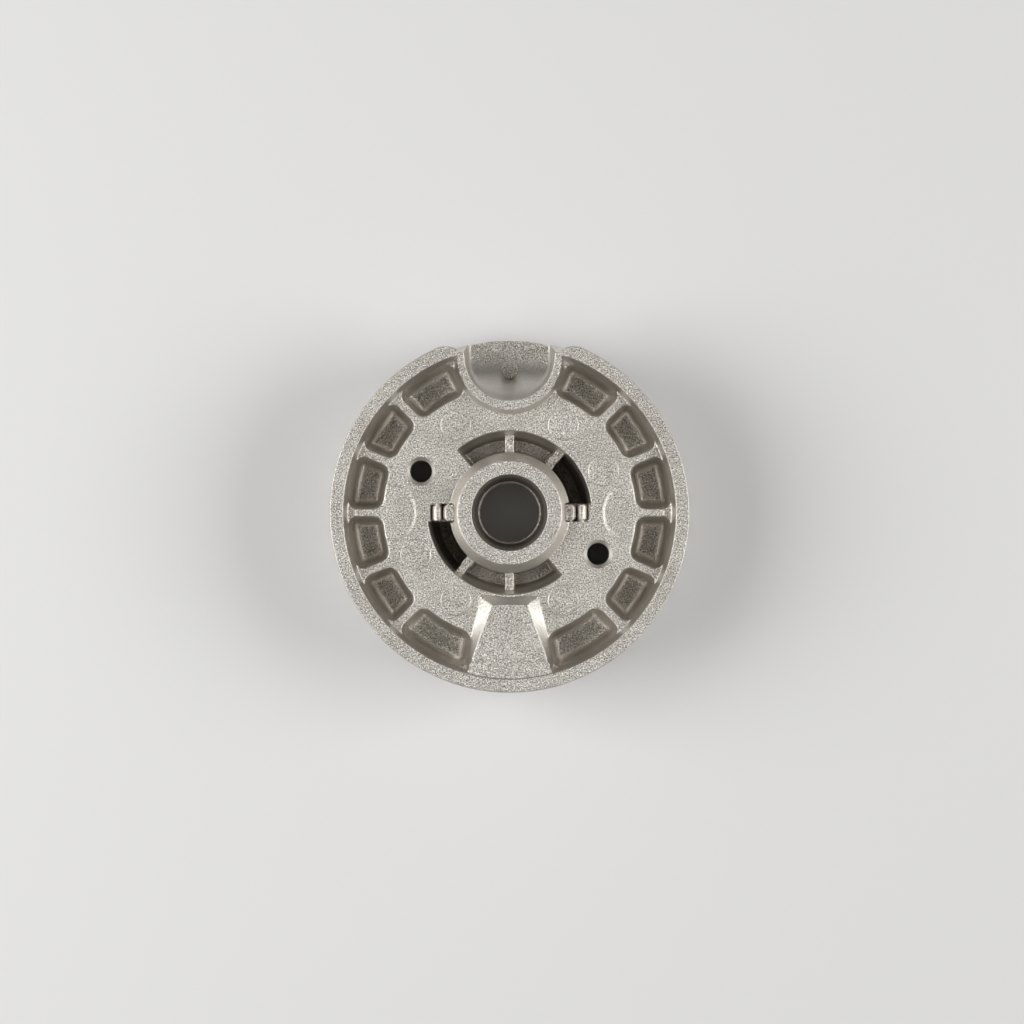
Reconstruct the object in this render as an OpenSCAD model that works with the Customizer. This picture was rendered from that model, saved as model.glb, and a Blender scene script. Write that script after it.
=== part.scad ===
// Gas burner base: the die-cast aluminium base of a sealed hob burner, one casting.
// It lies on its cap seat (z = 0) with the ribbed underside up (+Z). The electrode recess
// faces +Y and the plain pad faces -Y. The venturi axis is the Z axis.

/* [Node] */
// which node is drawn

/* [Body] */
// outside diameter of the skirt
body_d = 64; // [63:0.1:66]
// height from the cap seat to the rim
body_h = 22; // [21:0.5:26]
// width of the flat rim face
rim_w = 2.4; // [2:0.1:2.8]
// how far the web face lies below the rim
web_drop = 2; // [1.2:0.1:2.6]
// thickness of the web and of the pocket floors
web_t = 2.8; // [2:0.1:3.2]
// height of the skirt that hangs from the rim
skirt_h = 11; // [8:0.5:13]
// radius on the outer edge of the rim
edge_r = 0.4; // [0.2:0.1:0.8]

/* [Pockets] */
// diameter of the circle that the pockets start on
pocket_in_d = 45.2; // [44:0.2:46.4]
// depth of the pockets below the web face
pocket_depth = 8; // [6:0.5:9]
// plan radius of the pocket corners
pocket_r = 1.7; // [1.2:0.1:1.8]
// fillet around the pocket floors
pocket_fillet = 1.3; // [0.8:0.1:1.4]
// draft of the pocket walls in degrees
pocket_draft = 5; // [2:0.5:6]
// thickness of the radial ribs
rib_t = 1.6; // [1.2:0.1:2.2]

/* [Boss and venturi] */
// diameter of the boss face
boss_d = 18.4; // [17.4:0.2:19]
// diameter of the boss where it meets the web
boss_base_d = 21.4; // [20.6:0.2:21.6]
// diameter of the venturi mouth
inlet_d = 13.4; // [12.4:0.2:14.4]
// diameter of the venturi throat
throat_d = 10.6; // [9.6:0.2:11.4]
// length of the straight throat
throat_l = 3; // [2:0.5:5]
// diameter of the venturi outlet
outlet_d = 14.4; // [12.4:0.2:15]
// wall of the outlet tube
tube_t = 1.8; // [1.4:0.1:2.2]
// height of the outlet lip above the cap seat
lip_z = 3; // [2:0.5:4]

/* [Groove] */
// outside diameter of the groove around the boss
groove_d = 28.7; // [28:0.1:29.4]
// depth of the groove below the web face
groove_depth = 5; // [4:0.5:6]
// depth of the two deep stretches
groove_deep = 11; // [9:0.5:11.5]
// how far the outer wall leans in from edge to floor
groove_lean = 1.3; // [0.8:0.1:1.5]
// width of the cross ribs in the groove
cross_rib_w = 1.7; // [1.2:0.1:2.2]
// how far the cross ribs lie below the web face
cross_rib_drop = 2.4; // [1.6:0.1:3.2]

/* [Electrode recess] */
// width of the recess
recess_d = 15.2; // [14:0.2:16]
// distance of the recess centre from the venturi axis
recess_y = 27.5; // [27:0.1:28]
// wall around the recess at the rim
recess_wall = 1.7; // [1.4:0.1:2]
// height of the recess floor at its mouth
recess_floor_z = 8; // [7:0.5:9]
// diameter of the spark pip
pip_d = 2.9; // [2:0.1:3.4]

/* [Screw holes, pads and marks] */
// diameter of the circle that the screw holes lie on
screw_pcd = 34.8; // [34:0.1:35.6]
// diameter of the screw holes
screw_d = 3.9; // [3.2:0.1:4.4]
// diameter of the lead-in of each screw hole
lead_in_d = 5; // [4.8:0.1:5.6]
// diameter of the screw bosses under the web
screw_boss_d = 8; // [7:0.5:9]
// direction of the first screw hole in degrees
screw_angle = 155; // [150:1:158]
// diameter of the ejector marks
ejector_d = 5.4; // [4.6:0.2:6]
// diameter of the two round pads
round_pad_d = 10.4; // [9:0.2:11]
// height of the round pads above the web
round_pad_h = 0.6; // [0.3:0.1:1]

/* [Port ring] */
// outside diameter of the port ring
port_ring_d = 62.2; // [61:0.2:62.8]
// radial width of the port ring
port_ring_w = 4.8; // [4:0.2:5.2]
// flame ports on a full turn, before those at the recess are left out
port_count = 36; // [24:4:40]
// width of one flame port
port_w = 1.6; // [1:0.1:2]
// height of the flame ports
port_h = 4.5; // [3:0.5:5]

/* [Hidden] */
$fn = 96;
lap = 0.05;
body_r = body_d / 2;
rim_r = body_r - rim_w;
web_z = body_h - web_drop;
web_under_z = web_z - web_t;
skirt_z = body_h - skirt_h;
ring_r = port_ring_d / 2;
ring_in_r = ring_r - port_ring_w;
pocket_in_r = pocket_in_d / 2;
pocket_out_r = rim_r - 0.75;
pocket_z = web_z - pocket_depth;
chamber_r = pocket_in_r - 1.9;
gallery_z = pocket_z - web_t;
groove_r = groove_d / 2;
boss_base_r = boss_base_d / 2;
hub_r = groove_r + 2.2;
hub_z = web_z - groove_depth - web_t;
pod_z = web_z - groove_deep - 2.5;
tube_r = outlet_d / 2 + tube_t;
throat_z = hub_z - throat_l / 2;
recess_r = recess_d / 2;
recess_back_y = recess_y - recess_r;
rib_pitch = 22.5;
rib = rib_t / 2;
cross_rib_angles = [50, 90];
groove_end_angle = 130;
detent_angle = 8;

// Points of an arc about c, from angle a0 to angle a1 in degrees.
function arc(c, r, a0, a1, n) =
    [for (i = [0 : n]) let (a = a0 + (a1 - a0) * i / n) c + r * [cos(a), sin(a)]];

// The solid of revolution that the rest is cut from: skirt and rim outside, web, boss and venturi
// inside, and the chamber that opens to the cap side.
module turned_body() {
    mouth_z = throat_z + throat_l;
    mouth = [for (i = [8 : -1 : 0])
        [throat_d / 2 + (inlet_d - throat_d) / 2 * pow(i / 8, 1.6), mouth_z + (body_h - mouth_z) * i / 8]];
    rotate_extrude()
        polygon(concat(
            [[ring_in_r, 0], [ring_r, 0], [ring_r, skirt_z], [body_r - 0.4, skirt_z], [body_r, skirt_z + 0.7]],
            arc([body_r - edge_r, body_h - edge_r], edge_r, 0, 90, 4),
            [[rim_r, body_h], [pocket_out_r - 0.25, web_z], [boss_base_r, web_z], [boss_d / 2, body_h]],
            mouth,
            [[throat_d / 2, throat_z], [outlet_d / 2, lip_z], [tube_r, lip_z], [tube_r, hub_z]],
            [[hub_r, hub_z], [hub_r, web_under_z], [chamber_r, web_under_z], [chamber_r, gallery_z]],
            [[ring_in_r, gallery_z]]));
}

// A solid lofted through closed outlines with equal numbers of points, each at its own height,
// from the top one down.
module loft(outlines, heights) {
    n = len(outlines[0]);
    m = len(outlines);
    polyhedron(
        points = [for (j = [0 : m - 1], p = outlines[j]) [p[0], p[1], heights[j]]],
        faces = concat(
            [[for (i = [n - 1 : -1 : 0]) i]],
            [[for (i = [0 : n - 1]) (m - 1) * n + i]],
            [for (j = [0 : m - 2], i = [0 : n - 1], half = [0, 1])
                let (a = j * n + i, b = j * n + (i + 1) % n)
                half == 0 ? [a, b, b + n] : [a, b + n, a + n]]));
}

// One corner of a pocket outline: an arc of radius r about a point that lies rho from the axis
// and off to the left of the line through the axis in direction a.
function corner(a, off, rho, r, from, to) =
    let (u = sqrt(rho * rho - off * off))
    arc([u * cos(a) - off * sin(a), u * sin(a) + off * cos(a)], r, from, to, 4);

// The closed outline of a pocket. Each side is a direction and the distance by which the wall
// stands off the line in that direction, into the pocket. inset moves every wall inwards.
function pocket_outline(side0, side1, inset) =
    let (r = max(pocket_r - 0.5 * inset, 0.4),
         a0 = side0[0],
         a1 = side1[0],
         off0 = side0[1] + inset + r,
         off1 = -side1[1] - inset - r,
         rho_in = pocket_in_r + inset + r,
         rho_out = pocket_out_r - inset - r,
         in0 = a0 + asin(off0 / rho_in),
         in1 = a1 + asin(off1 / rho_in),
         out0 = a0 + asin(off0 / rho_out),
         out1 = a1 + asin(off1 / rho_out),
         inner = arc([0, 0], rho_in - r, in1, in0, 4),
         outer = arc([0, 0], rho_out + r, out0, out1, 4))
    concat(
        corner(a0, off0, rho_in, r, in0 + 180, a0 + 270),
        corner(a0, off0, rho_out, r, a0 - 90, out0),
        [for (k = [1 : 3]) outer[k]],
        corner(a1, off1, rho_out, r, out1, a1 + 90),
        corner(a1, off1, rho_in, r, a1 + 90, in1 + 180),
        [for (k = [1 : 3]) inner[k]]);

// One pocket as a cutter: drafted walls, a filleted floor and rounded corners.
module pocket(side0, side1) {
    wall_in = (pocket_depth - pocket_fillet) * tan(pocket_draft);
    steps = concat(
        [[0, body_h + 1], [0, web_z]],
        [for (a = [0 : 30 : 90])
            [wall_in + pocket_fillet * (1 - cos(a)), pocket_z + pocket_fillet * (1 - sin(a))]]);
    loft([for (s = steps) pocket_outline(side0, side1, s[0])], [for (s = steps) s[1]]);
}

// Twelve pockets: four between ribs on the left and on the right, and the four at the electrode
// recess and the plain pad, whose far sides follow those.
module pockets() {
    at_recess = [25.4, -1.95];
    at_pad = [9.6, 3.14];
    for (half = [0, 180], k = [-2 : 1])
        let (a = half + rib_pitch * k)
        pocket([a, rib], [a + rib_pitch, rib]);
    pocket([45, rib], [90 - at_recess[0], at_recess[1]]);
    pocket([90 + at_recess[0], at_recess[1]], [135, rib]);
    pocket([225, rib], [270 - at_pad[0], at_pad[1]]);
    pocket([270 + at_pad[0], at_pad[1]], [315, rib]);
}

// One stretch of the groove around the boss as a cutter, from angle a0 to a1.
module groove(depth, a0, a1) {
    floor_z = web_z - depth;
    floor_r = groove_r - groove_lean;
    fillet = 0.5;
    edge = 0.7;
    edge_c = [groove_r + edge - 0.15, web_z - edge];
    rotate([0, 0, a0])
        rotate_extrude(angle = a1 - a0)
            polygon(concat(
                [[boss_base_r - 0.1, web_z + 0.5], [boss_base_r + 0.3, floor_z + 0.3], [boss_base_r + 0.6, floor_z]],
                arc([floor_r - fillet, floor_z + fillet], fillet, -90, 0, 3),
                arc(edge_c, edge, 180, 90, 4),
                [[edge_c[0], web_z + 0.5]]));
}

// Half of the groove, from a detent to the groove's end. The other half is the same, half a turn on.
module half_groove() {
    rib_angle = asin(cross_rib_w / 2 / groove_r);
    groove(groove_depth, detent_angle, groove_end_angle);
    groove(groove_deep, detent_angle, cross_rib_angles[0] - rib_angle);
    groove(2.2, -detent_angle, detent_angle + 1);
}

// A radial bar across the groove, its long top edges rounded.
module cross_rib(a) {
    top_z = web_z - cross_rib_drop;
    half = cross_rib_w / 2;
    r = 0.5;
    rotate([0, 0, a])
        translate([boss_base_r - 0.6, 0, 0])
            rotate([90, 0, 90])
                linear_extrude(groove_r - boss_base_r + 0.6)
                    polygon(concat(
                        [[-half, web_z - groove_depth - lap], [half, web_z - groove_depth - lap]],
                        arc([half - r, top_z - r], r, 0, 90, 3),
                        arc([r - half, top_z - r], r, 90, 180, 3)));
}

// The pair of humps side by side that a lug of the mating part clicks onto.
module detent() {
    hump_w = 3;
    hump_l = (groove_r - boss_base_r + 0.5) / 2 - 0.3;
    r = 0.6;
    for (x = [boss_base_r - 0.5 + hump_l / 2, groove_r - 0.4 - hump_l / 2])
        translate([x, 0, 0])
            rotate([90, 0, 0])
                linear_extrude(hump_w, center = true)
                    polygon(concat(
                        [[-hump_l / 2, web_z - 2.6], [hump_l / 2, web_z - 2.6]],
                        arc([hump_l / 2 - r, web_z - 0.2 - r], r, 0, 90, 3),
                        arc([r - hump_l / 2, web_z - 0.2 - r], r, 90, 180, 3)));
}

// Height of the recess floor at distance y from the axis: a quarter ellipse, steep at the back
// and level at the mouth.
function recess_floor(y) =
    let (t = min(max((ring_r - y) / (ring_r - recess_back_y), 0), 1))
    recess_floor_z + (body_h - recess_floor_z) * (1 - sqrt(1 - t * t));

// The plan of the recess, widened by grow: round at the back and open towards +Y.
module recess_plan(grow) {
    translate([0, recess_y])
        circle(recess_r + grow);
    translate([-recess_r - grow, recess_y])
        square([recess_d + 2 * grow, body_r]);
}

// Everything above the recess floor lowered by drop, as a block wider than the recess.
module above_floor(drop) {
    back_y = recess_back_y - recess_wall - 1;
    ys = [for (a = [0 : 7.5 : 90]) ring_r - (ring_r - recess_back_y) * sin(a)];
    translate([-body_r, 0, 0])
        rotate([90, 0, 90])
            linear_extrude(body_d)
                polygon(concat(
                    [[body_r + 1, body_h + 1], [body_r + 1, recess_floor_z - drop]],
                    [for (y = ys) [y, recess_floor(y) - drop]],
                    [[back_y, body_h - drop], [back_y, body_h + 1]]));
}

// The hood around the recess, up to the web, with its raised collar above the web.
module recess_hood() {
    intersection() {
        cylinder(r = ring_r - 1, h = web_z);
        above_floor(web_t);
        linear_extrude(web_z)
            recess_plan(recess_wall);
    }
    intersection() {
        translate([0, 0, web_z - lap])
            cylinder(r = rim_r + 1, h = web_drop + lap);
        union() {
            translate([0, recess_y, web_z - lap])
                cylinder(r1 = recess_r + recess_wall + 0.6, r2 = recess_r + recess_wall, h = web_drop + lap);
            translate([-recess_r - recess_wall, recess_y, web_z - lap])
                cube([recess_d + 2 * recess_wall, body_r, web_drop + lap]);
        }
    }
}

// The recess itself, with the skirt cut back to the port ring beside its mouth.
module recess_cut() {
    intersection() {
        linear_extrude(body_h + 1)
            recess_plan(0);
        above_floor(0);
    }
    difference() {
        translate([-body_r, recess_y + 1.8, -1])
            cube([body_d, body_r, body_h + 2]);
        translate([0, 0, -2])
            cylinder(r = ring_r, h = body_h + 4);
    }
}

// The small post on the recess floor that the spark jumps to.
module spark_pip() {
    y = recess_y - 1.8;
    translate([0, y, recess_floor(y + pip_d / 2) - 1])
        cylinder(d1 = pip_d + 0.4, d2 = pip_d, h = recess_floor(y) - recess_floor(y + pip_d / 2) + 2.8);
}

// The raised plain pad between the groove and the rim: a trapezium with sloped flanks.
module plain_pad() {
    top_z = body_h - 0.3;
    y0 = -groove_r - 2;
    y1 = -rim_r - 0.3;
    flank = 2.6;
    end_flank = 1.8;
    half0 = 2.85;
    half1 = half0 + (y0 - y1) * 0.372;
    loft(
        [[[half0, y0], [-half0, y0], [-half1, y1], [half1, y1]],
         [[half0 + flank, y0 + end_flank], [-half0 - flank, y0 + end_flank],
          [-half1 - flank, y1], [half1 + flank, y1]]],
        [top_z, web_z - lap]);
}

// The flat discs that stand up from the web: two pads at the sides and the ejector marks.
module discs() {
    intersection() {
        cylinder(r = pocket_in_r + 0.3, h = body_h);
        for (x = [-1, 1])
            translate([x * 22.1, 0, web_z - lap])
                cylinder(d1 = round_pad_d + 0.8, d2 = round_pad_d, h = round_pad_h + lap);
    }
    for (a = [24, 58.5, 121.5, 204, 238.5, 301.5])
        rotate([0, 0, a])
            translate([18.3, 0, web_z - lap])
                cylinder(d = ejector_d, h = 0.12 + lap);
}

// The bosses and pods that hang below the web around the screw holes and the deep grooves.
module hidden_bosses() {
    for (half = [0, 180]) {
        rotate([0, 0, half + screw_angle])
            translate([screw_pcd / 2, 0, hub_z - 1])
                cylinder(d = screw_boss_d, h = web_under_z + lap - hub_z + 1);
        rotate([0, 0, half + detent_angle - 8])
            rotate_extrude(angle = cross_rib_angles[0] + 4)
                translate([tube_r - lap, pod_z])
                    square([hub_r - tube_r + lap, hub_z - pod_z + lap]);
    }
}

// The screw holes with their lead-ins.
module screw_holes() {
    for (half = [0, 180])
        rotate([0, 0, half + screw_angle])
            translate([screw_pcd / 2, 0, 0]) {
                cylinder(d = screw_d, h = body_h);
                translate([0, 0, web_z - 0.6])
                    cylinder(d1 = screw_d, d2 = lead_in_d + 0.4, h = 0.8);
            }
}

// The flame ports, open to the cap side, all round but for the stretch under the recess.
module flame_ports() {
    step = 360 / port_count;
    for (k = [0 : port_count - 1])
        let (a = 90 + (k + 0.5) * step)
        if (abs(a - 270) < 180 - 19)
            rotate([0, 0, a])
                translate([ring_in_r - 1, -port_w / 2, -1])
                    cube([port_ring_w + 3, port_w, port_h + 1]);
}

module burner_base() {
    color([0.72, 0.71, 0.69]) {
        difference() {
            union() {
                turned_body();
                hidden_bosses();
                recess_hood();
                plain_pad();
                discs();
            }
            pockets();
            recess_cut();
            for (half = [0, 180])
                rotate([0, 0, half])
                    half_groove();
            screw_holes();
            flame_ports();
        }
        for (half = [0, 180])
            rotate([0, 0, half]) {
                for (a = cross_rib_angles)
                    cross_rib(a);
                detent();
            }
        spark_pip();
    }
}

burner_base();
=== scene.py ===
"""The cast base of a gas burner, lying cap side down on a pale table under a studio light.

The camera looks straight down on the ribbed underside. Lengths in the formulas are in
millimetres: x runs to the right, y towards the electrode recess and z up from the table,
and r and turn are the distance from the venturi axis and the direction about it.
"""

import bmesh
import bpy
import numpy as np
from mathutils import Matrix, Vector


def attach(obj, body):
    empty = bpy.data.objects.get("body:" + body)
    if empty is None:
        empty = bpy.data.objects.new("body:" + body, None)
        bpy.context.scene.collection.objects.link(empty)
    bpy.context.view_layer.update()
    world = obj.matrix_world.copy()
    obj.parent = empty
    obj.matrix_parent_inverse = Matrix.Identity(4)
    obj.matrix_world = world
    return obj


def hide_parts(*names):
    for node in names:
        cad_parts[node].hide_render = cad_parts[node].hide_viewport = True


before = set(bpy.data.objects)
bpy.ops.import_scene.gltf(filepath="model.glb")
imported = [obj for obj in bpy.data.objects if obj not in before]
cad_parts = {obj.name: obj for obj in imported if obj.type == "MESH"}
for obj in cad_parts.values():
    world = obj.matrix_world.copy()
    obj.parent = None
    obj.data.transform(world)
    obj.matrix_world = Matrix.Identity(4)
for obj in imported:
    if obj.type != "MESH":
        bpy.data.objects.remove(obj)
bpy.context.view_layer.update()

# The turned form of the casting.
# Rim, web, centre boss and venturi mouth are turned in the die, so they are one profile about the
# venturi axis. The die's edges are worn, which leaves a small radius on every edge of the metal.
body_r = 32.0
rim_in_r = 29.6
rim_foot_r = 28.83
rim_z = 22.0
web_z = 20.0
boss_r = 9.2
boss_foot_r = 10.7
mouth_r = 6.7
throat_r = 5.3
throat_top_z = 13.7


def rounded(corners, radii, steps=5):
    """The line through the corners with each inner corner rounded: an arc of the given radius that
    touches both of its sides, found by turning the start radius evenly into the end radius."""
    p = np.asarray(corners, float)
    line = [p[:1]]
    for before, corner, after, radius in zip(p[:-2], p[1:-1], p[2:], radii):
        u = (before - corner) / np.linalg.norm(before - corner)
        v = (after - corner) / np.linalg.norm(after - corner)
        half = 0.5 * np.arccos(np.clip(u @ v, -1, 1))
        middle = corner + (u + v) / np.linalg.norm(u + v) * radius / np.sin(half)
        start = corner + u * radius / np.tan(half) - middle
        end = corner + v * radius / np.tan(half) - middle
        sweep = np.pi - 2 * half
        t = np.linspace(0, 1, steps + 1)[:, None]
        line.append(middle + (np.sin((1 - t) * sweep) * start + np.sin(t * sweep) * end) / np.sin(sweep))
    line.append(p[-1:])
    return np.concatenate(line)


def along(profile, at):
    """Height of a profile, a line of (distance, height) points, at each distance."""
    return np.interp(at, profile[:, 0], profile[:, 1])


mouth_t = np.linspace(0, 0.97, 14)[:, None] ** 2
mouth_curve = np.hstack([
    throat_r + (mouth_r - throat_r) * mouth_t**0.35,
    throat_top_z + (rim_z - throat_top_z) * mouth_t,
])
turned = np.concatenate([
    mouth_curve[:-1],
    rounded(
        [
            mouth_curve[-1],
            (mouth_r, rim_z),
            (boss_r, rim_z),
            (boss_foot_r, web_z),
            (rim_foot_r, web_z),
            (rim_in_r, rim_z),
            (body_r + 1, rim_z),
        ],
        [0.3, 0.6, 0.35, 0.4, 0.28],
    ),
])
rim_edge = rounded([(0, rim_z), (body_r, rim_z), (body_r + 0.001, web_z)], [0.4], 8)

# Raised forms on the web.
# The die also leaves a collar round the electrode recess, a plain pad between the groove and the
# rim, and a low round pad at each side. They stand on the web with soft edges and drafted sides.
recess_r = 7.5
recess_y = 27.5
collar = rounded([(0, rim_z), (9.25, rim_z), (9.9, web_z), (60, web_z)], [0.2, 0.25])
pad_rise = 1.7
pad_ramp = rounded([(-90, 0), (0, 0), (1, 1), (90, 1)], [0.2, 0.16])
round_pad_x = 22.1
round_pad = rounded([(0, 20.5), (4.95, 20.5), (5.75, web_z), (90, web_z)], [0.4, 0.5])


def from_recess(x, y):
    """Distance from the recess's middle line, which runs from its centre straight out to +y."""
    return np.hypot(x, np.minimum(y - recess_y, 0))


def plain_pad(x, y):
    """Height of the pad: how far a point lies from the foot line towards the top edge, across the
    flank or across the inner end, whichever is less, runs up a soft ramp."""
    top_edge = 2.95 + 0.383 * (-16.4 - y)
    foot = np.maximum(5.6 + 0.185 * (-15.2 - y), top_edge + 0.45)
    across = (foot - np.abs(x)) / (foot - top_edge)
    end = (-14.7 - y) / 1.75
    return web_z + pad_rise * along(pad_ramp, np.minimum(across, end))


def raised(x, y, z):
    """The height z with the collar and the pads standing on it: the highest form wins, outside the
    boss, where the web is the lowest of them."""
    forms = np.where(y > 0, along(collar, from_recess(x, y)), plain_pad(x, y))
    forms = np.maximum(forms, along(round_pad, np.hypot(np.abs(x) - round_pad_x, y)))
    return np.where(np.hypot(x, y) > boss_foot_r, np.maximum(z, forms), z)


# The pockets and their ribs.
# Twelve pockets lighten the casting and leave radial ribs between web and rim. Each has drafted
# walls, a fillet round its floor and soft top edges, as the core that forms it must slide out.
pocket_in_r = 22.6
pocket_out_r = 28.85
pocket_corner = 1.7
rib_half = 0.8
rib_pitch = 22.5
pockets = np.array(
    [(a, rib_half, a + rib_pitch, rib_half) for a in rib_pitch * np.arange(-2, 2)]
    + [(45, rib_half, 64.6, -1.95), (115.4, -1.95, 135, rib_half)]
    + [(a, rib_half, a + rib_pitch, rib_half) for a in 180 + rib_pitch * np.arange(-2, 2)]
    + [(225, rib_half, 260.4, 3.14), (279.6, 3.14, 315, rib_half)]
)
pocket_wall = rounded([(-0.2, 22.3), (0.7, 12), (60, 12)], [2.0], 8)


def rounded_least(p, q, radius):
    """The smaller of two distances from a pair of edges, with the corner between them rounded."""
    corner = radius - np.hypot(radius - p, radius - q)
    return np.where((p < radius) & (q < radius), corner, np.minimum(p, q))


def into_pocket(x, y):
    """Distance of each point inside the nearest pocket's outline, negative outside all of them: the
    least distance to its two sides, its inner and its outer edge, with the corners rounded."""
    r = np.hypot(x, y)
    deepest = np.full(r.shape, -9.0)
    for turn0, off0, turn1, off1 in pockets:
        a, b = np.radians([turn0, turn1])
        side0 = y * np.cos(a) - x * np.sin(a) - off0
        side1 = x * np.sin(b) - y * np.cos(b) - off1
        facing = x * np.cos((a + b) / 2) + y * np.sin((a + b) / 2) > 0
        ends = np.minimum(r - pocket_in_r, pocket_out_r - r)
        inside = rounded_least(np.minimum(side0, side1), ends, pocket_corner)
        deepest = np.maximum(deepest, np.where(facing, inside, -9.0))
    return deepest


def with_pockets(x, y, z):
    """The height z with the pockets sunk into it. Their edge is first rounded off: the drop of a
    quarter circle that ends where the wall begins, and fades out towards the rim's wall."""
    inside = into_pocket(x, y)
    r = np.hypot(x, y)
    soft = 0.05 + 0.55 * np.clip((28.7 - r) / 0.9, 0, 1)
    run = np.clip(inside + 0.92 * soft, 0, soft)
    z = z - (soft - np.sqrt(np.maximum(soft**2 - run**2, 0)))
    sunk = np.where(inside > -0.19, along(pocket_wall, inside), 99)
    return np.minimum(z, sunk)


# The groove round the boss.
# Two curved grooves half a turn apart take the jet holder's bayonet. Each has a deep stretch, two
# low cross ribs and, at its mouth, a pair of humps that the bayonet lug clicks over.
groove_walls = [(10.4, 26), (10.7, web_z), (14.58, web_z), (14.951, web_z), (15.0, 26)]
groove_shallow = rounded(
    [*groove_walls[:2], (10.94, 15), (13.05, 15), *groove_walls[2:]], [0.01, 0.3, 0.45, 0.49, 0.01]
)
groove_deep = rounded(
    [*groove_walls[:2], (11.1, 9), (13.05, 9), *groove_walls[2:]], [0.01, 0.5, 0.6, 0.42, 0.01]
)
groove_end = rounded([(-0.06, 26), (0, web_z), (0.5, 15), (40, 15)], [0.01, 0.5])
deep_start = rounded([(-0.04, 26), (0, web_z), (0.3, 9), (40, 9)], [0.01, 0.5])
cross_rib = rounded([(0, 17.6), (0.84, 17.6), (1.2, 5), (40, 5)], [0.3, 0.01])
groove_stop = np.radians(130)
cross_ribs = np.radians([50, 90])
lug_way = rounded([(-0.05, 26), (0.0, 20.4), (0.12, 17.8), (9, 17.8)], [0.01, 0.1])
outer_hump = rounded(
    [(11.8, 19.2), (12.1, 19.25), (12.7, 19.95), (13.7, 19.3), (14.2, 18)], [0.1, 0.4, 0.2]
)
inner_hump = rounded(
    [(9.8, 20.5), (10.3, 20.1), (11.3, 20.05), (11.8, 19.5), (12.0, 19.25)], [0.2, 0.5, 0.1]
)
hump_edge = rounded([(-0.3, -6), (0, -0.2), (0.35, 0), (9, 0)], [0.05, 0.2])


def half_turned(x, y):
    """The same point on the first half of the groove: turned half a turn where it lies past the
    first half, which runs from 25 degrees before the first lug way to 25 degrees past its stop."""
    turn = np.degrees(np.arctan2(y, x))
    sign = np.where((turn > -25) & (turn < 155), 1.0, -1.0)
    return x * sign, y * sign


def with_groove(x, y, z):
    """The height z with the groove sunk into it and its cross ribs and humps standing in it."""
    x, y = half_turned(x, y)
    r = np.hypot(x, y)
    past_rib = y * np.cos(cross_ribs[0]) - x * np.sin(cross_ribs[0])
    before_stop = x * np.sin(groove_stop) - y * np.cos(groove_stop)
    shallow = np.maximum(along(groove_shallow, r), along(groove_end, before_stop))
    deep = np.maximum(along(groove_deep, r), along(deep_start, y - 1.58))
    sunk = np.where(past_rib < 0, deep, shallow)
    ribs = np.full(r.shape, -9.0)
    for turn in cross_ribs:
        ribs = np.maximum(ribs, along(cross_rib, np.abs(y * np.cos(turn) - x * np.sin(turn))))
    sunk = np.maximum(sunk, np.where(y > 3, ribs, -9.0))
    z = np.minimum(z, np.where(r < 15.0, sunk, 99))
    edge = rounded_least(14.1 - x, y + 1.6, 0.7)
    way = np.minimum(edge, x - 9.95)
    z = np.where((y < 1.7) & (x > 0), np.minimum(z, along(lug_way, way)), z)
    outer = np.minimum(rounded_least(14.02 - x, 1.54 - np.abs(y), 0.6), x - 12.1)
    inner = np.minimum(rounded_least(11.9 - x, 1.5 - np.abs(y), 0.9), x - 10.0)
    humps = np.maximum(
        along(outer_hump, x) + along(hump_edge, outer),
        along(inner_hump, x) + along(hump_edge, inner),
    )
    return np.where((x > 9.9) & (x < 14.3) & (np.abs(y) < 1.9), np.maximum(z, humps), z)


# The cap side.
# The hidden side is the chamber: an outlet tube about the axis, a gallery round it and the port
# ring that carries the cap. It is turned too, with pods under the deep grooves and screw bosses.
ring_r = 31.1
cap_side = np.array([
    (5.3, 10.7), (7.2, 3.1), (7.35, 3.0), (8.8, 3.0), (8.95, 3.1), (9.0, 3.3), (9.1, 12.0), (9.3, 12.2),
    (16.35, 12.2), (16.5, 12.4), (16.55, 17.2), (20.6, 17.2), (20.7, 9.4), (20.85, 9.2), (26.1, 9.2),
    (26.25, 9.0), (26.3, 0.15), (26.45, 0.0), (30.95, 0.0), (31.1, 0.15), (31.11, 11.0), (31.6, 11.0),
    (32.0, 11.7),
])
pod_z = 6.5
screw_boss_r = 4.0
screw_boss_z = 11.2
screw_turn = np.radians(155)
screw_at = 17.4 * np.array([np.cos(screw_turn), np.sin(screw_turn)])
recess_floor_z = 8.0
hood_t = 2.8


def recess_floor(y):
    """Height of the recess floor: a quarter ellipse, upright at the back and level at the mouth."""
    t = np.clip((ring_r - y) / (ring_r - recess_y + recess_r), 0, 1)
    return recess_floor_z + (rim_z - recess_floor_z) * (1 - np.sqrt(1 - t * t))


def cap_side_height(x, y, r):
    """Height of the casting's lower face, the lowest of the turned face and what hangs below it."""
    z = along(cap_side, r)
    hx, hy = half_turned(x, y)
    turn = np.degrees(np.arctan2(hy, hx))
    z = np.where((turn > 0) & (turn < 54) & (r > 9.05) & (r < 16.52), pod_z, z)
    from_screw = np.minimum(
        np.hypot(x - screw_at[0], y - screw_at[1]), np.hypot(x + screw_at[0], y + screw_at[1])
    )
    z = np.where(from_screw < screw_boss_r, np.minimum(z, screw_boss_z), z)
    hood = (y > 15) & (from_recess(x, y) < recess_r + 1.7) & (r < ring_r - 1)
    return np.where(hood, np.minimum(z, recess_floor(y) - hood_t), z)


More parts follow.
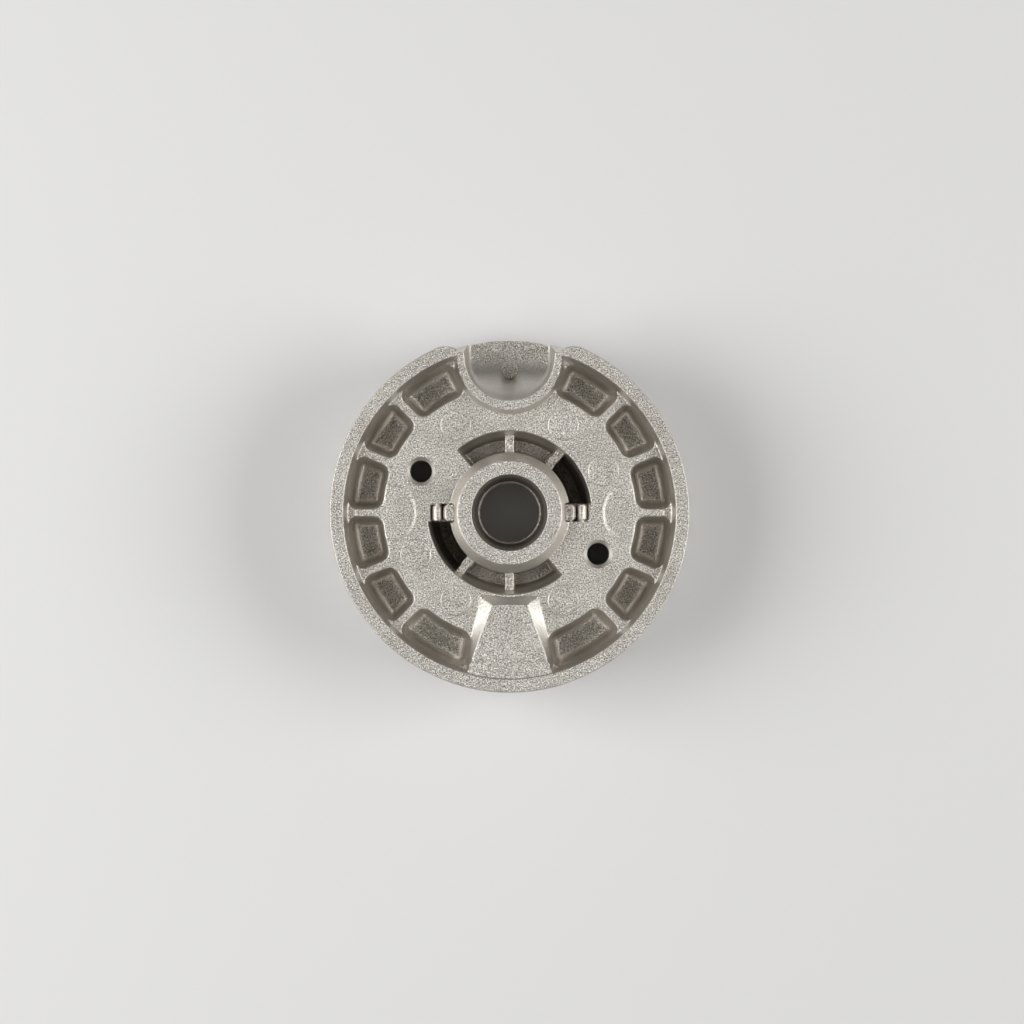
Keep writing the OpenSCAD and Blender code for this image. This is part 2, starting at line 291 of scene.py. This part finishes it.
# The skin of the casting.
# One closed skin covers it: over the underside from the skirt to the venturi, down the throat, out
# over the cap side and up the skirt. Its lines crowd where the metal curves.
near_side = [0, 0.07, 0.3, 0.56, 0.76, 1.0, 1.3, 1.65, 2.0]
on_rib = [-0.08, -0.17, -0.28, -0.38, -0.45]
gap_lines = {4: 92, 10: 64}


def skin_turns(r):
    """Directions of the skin's lines at radius r, in degrees: lines at fixed distances from the
    sides of each pocket, a few between them, and one or more across each rib or wider gap."""

    def beside(turn, off, into, sense):
        """Direction of the point at r that lies into a pocket by so much from one of its sides."""
        return turn + sense * np.degrees(np.arcsin((off + into) / r))

    lines = []
    for k, (turn0, off0, turn1, off1) in enumerate(pockets):
        lines += [beside(turn0, off0, s, 1) for s in near_side]
        far = [beside(turn1, off1, s, -1) for s in near_side[::-1]]
        lines += [lines[-1] + (far[0] - lines[-1]) * f for f in (0.25, 0.5, 0.75)] + far
        lines += [beside(turn1, off1, s, -1) for s in on_rib]
        last = k == len(pockets) - 1
        next_turn, next_off = pockets[0 if last else k + 1][:2]
        ahead = [beside(next_turn + 360 * last, next_off, s, 1) for s in on_rib[::-1]]
        gap = gap_lines.get(k, 1)
        lines += [lines[-1] + (ahead[0] - lines[-1]) * i / (gap + 1) for i in range(1, gap + 1)] + ahead
    return np.array(lines)


def fanned_turns(r):
    """Directions of the skin's lines at any radius: those of skin_turns beyond the web, and further
    in spread evenly within each stretch from one rib's middle to the next."""
    base = skin_turns(24.0)
    knots = np.concatenate([
        np.searchsorted(base, rib_pitch * np.arange(-1, 3) - 1e-6),
        np.searchsorted(base, [70.5, 109.5]),
        np.searchsorted(base, rib_pitch * np.arange(6, 11) - 1e-6),
        np.searchsorted(base, [252.0, 288.0]),
        [np.searchsorted(base, 315 - 1e-6)],
    ])
    count = len(base)
    around = np.concatenate([[knots[-1] - count], knots])
    held = np.concatenate([[base[knots[-1]] - 360], base[knots]])
    around = np.append(around, around[1] + count)
    held = np.append(held, held[1] + 360)
    even = np.interp(np.arange(count), around, held)
    share = np.clip((r - 20.4) / 1.8, 0, 1)
    share = share * share * (3 - 2 * share)
    return even + (skin_turns(max(r, 22.0)) - even) * share


def spaced(*stretches):
    """Radii of the skin's lines: for each stretch (from, to, lines), evenly spaced, start left out."""
    return np.concatenate([np.linspace(a, b, n + 1)[1:] for a, b, n in stretches])


upper_r = np.concatenate([
    [32.0, 31.98, 31.9, 31.78, 31.6, 31.5],
    spaced((31.5, 29.82, 3), (29.82, 29.76, 1), (29.76, 29.54, 4), (29.54, 28.95, 3), (28.95, 28.55, 5)),
    spaced((28.55, 28.2, 2), (28.2, 26.8, 7), (26.8, 25.0, 4), (25.0, 23.2, 7), (23.2, 22.62, 3)),
    spaced((22.62, 22.16, 5), (22.16, 15.05, 35), (15.05, 14.4, 6), (14.4, 13.1, 6), (13.1, 12.4, 4)),
    spaced((12.4, 11.2, 6), (11.2, 10.66, 5), (10.66, 10.5, 2), (10.5, 9.5, 4), (9.5, 8.95, 5)),
    spaced((8.95, 7.05, 4), (7.05, 6.95, 1), (6.95, 6.55, 5), (6.55, 5.3, 7)),
])
lower_r = np.unique(np.concatenate([cap_side[:, 0], np.arange(10, 16.4, 1.3), np.arange(17, 20.5, 0.9)]))
skirt_z = np.array([12.5, 17.0, 21.0])
mouth_edge_turn = np.array([0, 16.0, 16.8, 17.4, 17.9, 18.4, 19.5, 21.0, 23.0, 180])
mouth_edge_r = np.array([29.7, 29.72, 29.8, 30.05, 30.5, 30.85, 31.27, 31.7, 32.0, 32.0])


def drawn_in(r, turn, z):
    """How far the skirt's outer lines are drawn in beside the recess's mouth: by the gap between
    the body's radius and the cut edge there, which slopes out to the port ring further down."""
    edge = np.interp(np.abs((turn - 90 + 180) % 360 - 180), mouth_edge_turn, mouth_edge_r)
    down = np.clip((rim_z - z) / (rim_z - 9.0), 0, 1)
    edge = edge + (np.maximum(edge, ring_r + 0.02) - edge) * down
    return (body_r - edge) * np.clip((r - 28.95) / (31.5 - 28.95), 0, 1)


def row(r, z_of, z_at):
    """One closed line of the skin as x, y, z: the points at radius r in the skin's directions."""
    turn = fanned_turns(r)
    held = r - (drawn_in(r, turn, z_at) if r > 28.95 else 0)
    if z_at < 11.8:
        held = np.maximum(held, min(r, ring_r + 0.02))
    x, y = held * np.cos(np.radians(turn)), held * np.sin(np.radians(turn))
    return np.stack([x, y, z_of(x, y, r)], -1)


def underside_height(x, y, r):
    """Height of the underside: the turned profile, then the raised forms, pockets and groove."""
    z = raised(x, y, along(turned, np.full(x.shape, r)))
    z = with_groove(x, y, with_pockets(x, y, z))
    return np.minimum(z, along(rim_edge, r))


skin_rows = [row(r, underside_height, rim_z) for r in upper_r]
skin_rows += [row(r, cap_side_height, 11.0) for r in lower_r]
skin_rows += [row(body_r, lambda x, y, r, z=z: np.full(x.shape, z), z) for z in skirt_z]
skin = np.array(skin_rows)


def solid_from(name, points, faces):
    """A mesh object from points in millimetres and faces that name them by number."""
    mesh = bpy.data.meshes.new(name)
    mesh.from_pydata((np.asarray(points) / 1000).tolist(), [], faces)
    mesh.validate()
    thing = bpy.data.objects.new(name, mesh)
    bpy.context.scene.collection.objects.link(thing)
    return thing


def quads(rows, cols, rows_close, cols_close):
    """Faces of a grid of rows by cols points, closed in either direction where asked."""
    i = np.arange(rows if rows_close else rows - 1)[:, None]
    j = np.arange(cols if cols_close else cols - 1)[None, :]
    a, b = i * cols + j, i * cols + (j + 1) % cols
    c, d = (i + 1) % rows * cols + (j + 1) % cols, (i + 1) % rows * cols + j
    return np.stack([a, b, c, d], -1).reshape(-1, 4).tolist()


casting = solid_from("burner_base_casting", skin.reshape(-1, 3), quads(*skin.shape[:2], True, True))

# The electrode recess.
# A scoop at the edge of the casting leaves room for the spark electrode. Its floor sweeps up to
# the collar at the back, and a small post on it is what the spark jumps to.
draft = np.tan(np.radians(2.0))


def recess_core():
    """The scoop as a solid to take away: a profile carried along the recess's outline, which runs in
    at the left, half round the back and out at the right. The profile goes from the middle of the
    floor out to the wall, up it with its draft, over the soft edge and back above the casting."""
    straight = np.linspace(34, recess_y, 12)[:-1]
    bend = np.radians(np.linspace(180, 360, 65))
    centre_y = np.concatenate([straight, np.full(bend.shape, recess_y), straight[::-1]])
    way_x = np.concatenate([-np.ones(11), np.cos(bend), np.ones(11)])
    way_y = np.concatenate([np.zeros(11), np.sin(bend), np.zeros(11)])
    out = recess_r * np.array([0, 0.15, 0.3, 0.45, 0.6, 0.72, 0.82, 0.88, 0.92, 0.96, 0.985, 1.0])
    lift = 0.9 - np.sqrt(0.81 - np.clip(out - recess_r + 0.9, 0, 0.9) ** 2)
    floor_y = centre_y[:, None] + out * way_y[:, None]
    floor = np.minimum(recess_floor(floor_y) + lift * 0.85, rim_z - 0.45)
    flare = 0.6 * np.clip((centre_y - 26.8) / 3.0, 0, 1.5) ** 2 * (np.abs(way_x) > 0.99)
    wall_t = np.linspace(0, 1, 7)[1:]
    foot = floor[:, -1:]
    wall_z = foot + (rim_z - 0.3 - foot) * wall_t
    wall_out = recess_r + (wall_z - foot) * draft + flare[:, None] * ((wall_z - 8) / 14) ** 2
    edge = np.radians(np.linspace(0, 90, 6)[1:-1])
    edge_z = rim_z - 0.3 + 0.3 * np.sin(edge)
    edge_out = wall_out[:, -1:] + 0.3 * (1 - np.cos(edge))
    lip_out = wall_out[:, -1:] + [0.32, 0.6]
    shelf = np.linspace(1, 0, 4)[1:]
    floor_out = np.tile(out, (len(floor), 1))
    profile_out = np.hstack([floor_out, wall_out, edge_out, lip_out, lip_out[:, -1:] * shelf])
    top_z = np.tile(np.concatenate([edge_z, [rim_z + 0.02, 24], [24, 24, 24]]), (len(floor), 1))
    profile_z = np.hstack([floor, wall_z, top_z])
    x = profile_out * way_x[:, None]
    y = centre_y[:, None] + profile_out * way_y[:, None]
    return np.stack([x, y, profile_z], -1)


def welded(thing):
    """The object with points that lie on each other joined and every face turned outwards."""
    shape = bmesh.new()
    shape.from_mesh(thing.data)
    bmesh.ops.remove_doubles(shape, verts=shape.verts, dist=1e-7)
    bmesh.ops.dissolve_degenerate(shape, edges=shape.edges, dist=1e-8)
    bmesh.ops.holes_fill(shape, edges=shape.edges, sides=0)
    bmesh.ops.recalc_face_normals(shape, faces=shape.faces)
    shape.to_mesh(thing.data)
    shape.free()
    return thing


def turned_solid(name, centre, profile, around=48):
    """A solid turned about an upright line through centre from a profile of (radius, height)."""
    turn = np.linspace(0, 2 * np.pi, around, endpoint=False)
    r, z = np.asarray(profile, float).T
    x = centre[0] + r[:, None] * np.cos(turn)
    y = centre[1] + r[:, None] * np.sin(turn)
    points = np.stack([x, y, np.broadcast_to(z[:, None], x.shape)], -1)
    return welded(solid_from(name, points.reshape(-1, 3), quads(len(r), around, False, True)))


def combined(thing, others, how):
    """The object joined with, or cut by, the others one after another."""
    for other in others:
        step = thing.modifiers.new("step", "BOOLEAN")
        step.operation = how
        step.solver = "MANIFOLD"
        step.object = other
        bpy.context.view_layer.update()
        shaped = thing.evaluated_get(bpy.context.evaluated_depsgraph_get())
        made = bpy.data.meshes.new_from_object(shaped)
        thing.modifiers.clear()
        thing.data = made
        bpy.data.objects.remove(other)
    return thing


core = recess_core()
core_rows, core_cols = core.shape[:2]
core_faces = quads(core_rows, core_cols, False, False)
last_row = range((core_rows - 1) * core_cols, core_rows * core_cols)
end_face = [*range(core_cols), *reversed(last_row)]
recess = welded(solid_from("recess_core", core.reshape(-1, 3), core_faces + [end_face]))
post_top = 11.5
post_profile = rounded([(0, 8.4), (1.75, 8.4), (1.47, post_top), (0, post_top)], [0.05, 0.22])
post = turned_solid("spark_post", (0, recess_y - 1.8), post_profile)

# Screw holes, ejector marks and flame ports.
# Two plain holes with soft lead-ins take the screws. The ejector pins leave six faint discs on the
# web. The ports are slots through the port ring, all round but for the stretch under the recess.
hole_profile = np.concatenate([
    [(0, 5), (1.93, 5)],
    rounded([(1.93, 19.2), (1.97, 19.45), (2.62, 20.02), (2.9, 21), (0, 21)], [0.1, 0.25, 0.05]),
])
screw_cores = [turned_solid("screw_core", side * screw_at, hole_profile) for side in (1, -1)]
disc_profile = [(0, 19.5), (2.78, 19.5), (2.78, 20.02), (2.62, 20.19), (2.52, 20.21), (0, 20.21)]
disc_turns = np.radians([24, 58.5, 121.5, 204, 238.5, 301.5])
disc_ring_r = 18.3
discs = [
    turned_solid("disc", (disc_ring_r * np.cos(a), disc_ring_r * np.sin(a)), disc_profile)
    for a in disc_turns
]
port_turns = np.radians([a for a in range(5, 365, 10) if abs(a - 90) > 19])
port_section = np.array(
    [(-0.8, -1), (0.8, -1), (0.8, 3.9), (0.55, 4.35), (0, 4.5), (-0.55, 4.35), (-0.8, 3.9)]
)


def port_core(turn):
    """One slot as a solid to take away: its section carried straight out through the ring."""
    r = np.array([25.3, 33.0])[:, None]
    across, z = port_section.T
    x = r * np.cos(turn) - across * np.sin(turn)
    y = r * np.sin(turn) + across * np.cos(turn)
    points = np.stack([x, y, np.broadcast_to(z, x.shape)], -1).reshape(-1, 3)
    n = len(port_section)
    end_faces = [list(range(n)), list(range(2 * n - 1, n - 1, -1))]
    return welded(solid_from("port", points, quads(2, n, False, True) + end_faces))


casting = combined(casting, discs, "UNION")
casting = combined(casting, [recess, *screw_cores, *[port_core(a) for a in port_turns]], "DIFFERENCE")
casting = combined(casting, [post], "UNION")
casting.data.shade_smooth()
casting.data.set_sharp_from_angle(angle=np.radians(40))
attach(casting, "root")
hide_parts("burner_base")

# The metal.
# Die-cast aluminium, shot-blasted: the blast leaves overlapping dents about 0.3 mm across, bright
# and dark by turns on the flats, which the bump gives and the colour repeats as real grain of tone
# together with painted glints and painted shade in the dents. It hardly reaches the steep walls,
# which keep the die's smoother skin. The deep grooves and the venturi are coloured darker: painted
# shade in those hollows.
def linear(hex_colour):
    """An sRGB hex colour as the linear RGBA that shaders use."""
    c = np.array([int(hex_colour[i:i + 2], 16) / 255 for i in (0, 2, 4)])
    return (*np.where(c <= 0.04045, c / 12.92, ((c + 0.055) / 1.055) ** 2.4), 1.0)


def add_node(tree, kind, settings=None, **inputs):
    """A node of the given kind in the tree, with its settings, values and incoming links. An input
    goes by its name with _ for each space, or by _ and its number where the name isn't unique."""
    node = tree.nodes.new(kind)
    for name, value in (settings or {}).items():
        setattr(node, name, value)
    for name, value in inputs.items():
        numbered = name[0] == "_"
        socket = node.inputs[int(name[1:]) if numbered else name.replace("_", " ")]
        if isinstance(value, bpy.types.NodeSocket):
            tree.links.new(value, socket)
        else:
            socket.default_value = value
    return node


metal = bpy.data.materials.new("shot_blasted_cast_aluminium")
metal.use_nodes = True
tree = metal.node_tree
tree.nodes.clear()
place = add_node(tree, "ShaderNodeTexCoord").outputs["Object"]
facing = add_node(tree, "ShaderNodeNewGeometry").outputs["Normal"]
upright = add_node(tree, "ShaderNodeSeparateXYZ", Vector=facing).outputs["Z"]
flat = add_node(
    tree, "ShaderNodeMapRange", Value=upright, From_Min=0.8, From_Max=0.99, To_Min=0.14, To_Max=1.0
)
dents = add_node(
    tree, "ShaderNodeTexVoronoi", {"feature": "SMOOTH_F1"}, Vector=place, Scale=3200.0, Smoothness=0.6
)
grit = add_node(tree, "ShaderNodeTexNoise", Vector=place, Scale=4000.0, Detail=3.0, Roughness=0.6)
relief = add_node(
    tree, "ShaderNodeMath", {"operation": "MULTIPLY_ADD"},
    _0=grit.outputs["Fac"], _1=0.9, _2=dents.outputs["Distance"],
)
bump = add_node(
    tree, "ShaderNodeBump", Height=relief.outputs[0], Strength=flat.outputs["Result"], Distance=0.00027
)
cloud = add_node(tree, "ShaderNodeTexNoise", Vector=place, Scale=160.0, Detail=4.0)
tone = add_node(tree, "ShaderNodeValToRGB", Fac=cloud.outputs["Fac"])
tone.color_ramp.elements[0].position = 0.35
tone.color_ramp.elements[0].color = linear("D2CDC6")
tone.color_ramp.elements[1].position = 0.65
tone.color_ramp.elements[1].color = linear("E0DCD5")
# Painted glints and painted shade in the dents, with the real grain of tone: fine noise scales the colour
# from 0.4 to 1.4 on the flats.
grain_and_painted_glints = add_node(
    tree, "ShaderNodeMapRange",
    Value=grit.outputs["Fac"], From_Min=0.37, From_Max=0.63, To_Min=0.4, To_Max=1.4,
)
grain_and_glint_colour = add_node(
    tree, "ShaderNodeMix", {"data_type": "RGBA", "blend_type": "MULTIPLY"},
    _0=flat.outputs["Result"], _6=tone.outputs["Color"], _7=grain_and_painted_glints.outputs["Result"],
)
spot = add_node(tree, "ShaderNodeSeparateXYZ", Vector=place)
level = add_node(tree, "ShaderNodeCombineXYZ", X=spot.outputs["X"], Y=spot.outputs["Y"])
out = add_node(tree, "ShaderNodeVectorMath", {"operation": "LENGTH"}, _0=level.outputs[0])
# Painted shade: near the axis and low down, in the deep grooves and the venturi, the colour is darkened
# to A8A29A.
near = add_node(
    tree, "ShaderNodeMapRange",
    Value=out.outputs["Value"], From_Min=0.0148, From_Max=0.0152, To_Min=1.0, To_Max=0.0,
)
low = add_node(
    tree, "ShaderNodeMapRange",
    Value=spot.outputs["Z"], From_Min=0.0158, From_Max=0.0174, To_Min=1.0, To_Max=0.0,
)
painted_shade_mask = add_node(
    tree, "ShaderNodeMath", {"operation": "MULTIPLY"},
    _0=near.outputs["Result"], _1=low.outputs["Result"],
)
colour_with_painted_shade = add_node(
    tree, "ShaderNodeMix", {"data_type": "RGBA"},
    _0=painted_shade_mask.outputs[0], _6=grain_and_glint_colour.outputs[2], _7=linear("A8A29A"),
)
gloss = add_node(
    tree, "ShaderNodeMapRange",
    Value=flat.outputs["Result"], From_Min=0.14, From_Max=1.0, To_Min=0.39, To_Max=0.58,
)
surface = add_node(
    tree, "ShaderNodeBsdfPrincipled", Base_Color=colour_with_painted_shade.outputs[2], Metallic=1.0,
    Roughness=gloss.outputs["Result"], Normal=bump.outputs["Normal"],
)
add_node(tree, "ShaderNodeOutputMaterial", Surface=surface.outputs["BSDF"])
casting.data.materials.clear()
casting.data.materials.append(metal)

# The table and the light.
# A pale table between two large soft lamps, one at the left and one further off at the right, so
# that metal tilted towards either is bright and metal tilted to the front or the back stays dark.
table_half = 4000
table_corners = [(-table_half, -table_half, 0), (table_half, -table_half, 0)]
table_corners += [(table_half, table_half, 0), (-table_half, table_half, 0)]
floor_mesh = solid_from("table", table_corners, [[0, 1, 2, 3]])
floor_look = bpy.data.materials.new("pale_table")
floor_look.use_nodes = True
floor_tree = floor_look.node_tree
floor_tree.nodes.clear()
floor_paint = add_node(floor_tree, "ShaderNodeBsdfPrincipled", Base_Color=linear("E2E2E2"), Roughness=0.9)
add_node(floor_tree, "ShaderNodeOutputMaterial", Surface=floor_paint.outputs["BSDF"])
floor_mesh.data.materials.append(floor_look)


def lamp(name, at, size, power):
    """A soft rectangular lamp at a place in metres, turned to face the casting."""
    light = bpy.data.lights.new(name, "AREA")
    light.shape = "RECTANGLE"
    light.size, light.size_y = size
    light.energy = power
    thing = bpy.data.objects.new(name, light)
    thing.location = at
    thing.rotation_euler = (-Vector(at)).to_track_quat("-Z", "Y").to_euler()
    bpy.context.scene.collection.objects.link(thing)


lamp("left_lamp", (-0.5, 0.0, 0.45), (0.45, 0.5), 3.0)
lamp("right_lamp", (0.75, 0.0, 0.6), (0.55, 0.55), 4.5)
world = bpy.data.worlds.new("studio")
bpy.context.scene.world = world
world.use_nodes = True
sky = world.node_tree
sky.nodes.clear()
look_way = add_node(sky, "ShaderNodeTexCoord").outputs["Generated"]
towards = add_node(sky, "ShaderNodeSeparateXYZ", Vector=look_way)
aside = add_node(sky, "ShaderNodeMath", {"operation": "ABSOLUTE"}, _0=towards.outputs["X"])
shade = add_node(
    sky, "ShaderNodeMapRange",
    Value=aside.outputs[0], From_Min=0.25, From_Max=0.85, To_Min=0.14, To_Max=0.6,
)
glow = add_node(sky, "ShaderNodeBackground", Color=linear("FFFDFA"), Strength=shade.outputs["Result"])
add_node(sky, "ShaderNodeOutputWorld", Surface=glow.outputs["Background"])

# The camera.
# It stands 0.7 m above the table and a little to the right of the venturi axis, with a long lens.
view = bpy.data.cameras.new("camera")
view.sensor_width = 36
view.lens = 134.3
view.clip_end = 50
camera = bpy.data.objects.new("camera", view)
camera.location = (0.00043, 0.00012, 0.7)
bpy.context.scene.collection.objects.link(camera)
bpy.context.scene.camera = camera
bpy.context.scene.view_settings.view_transform = "Standard"
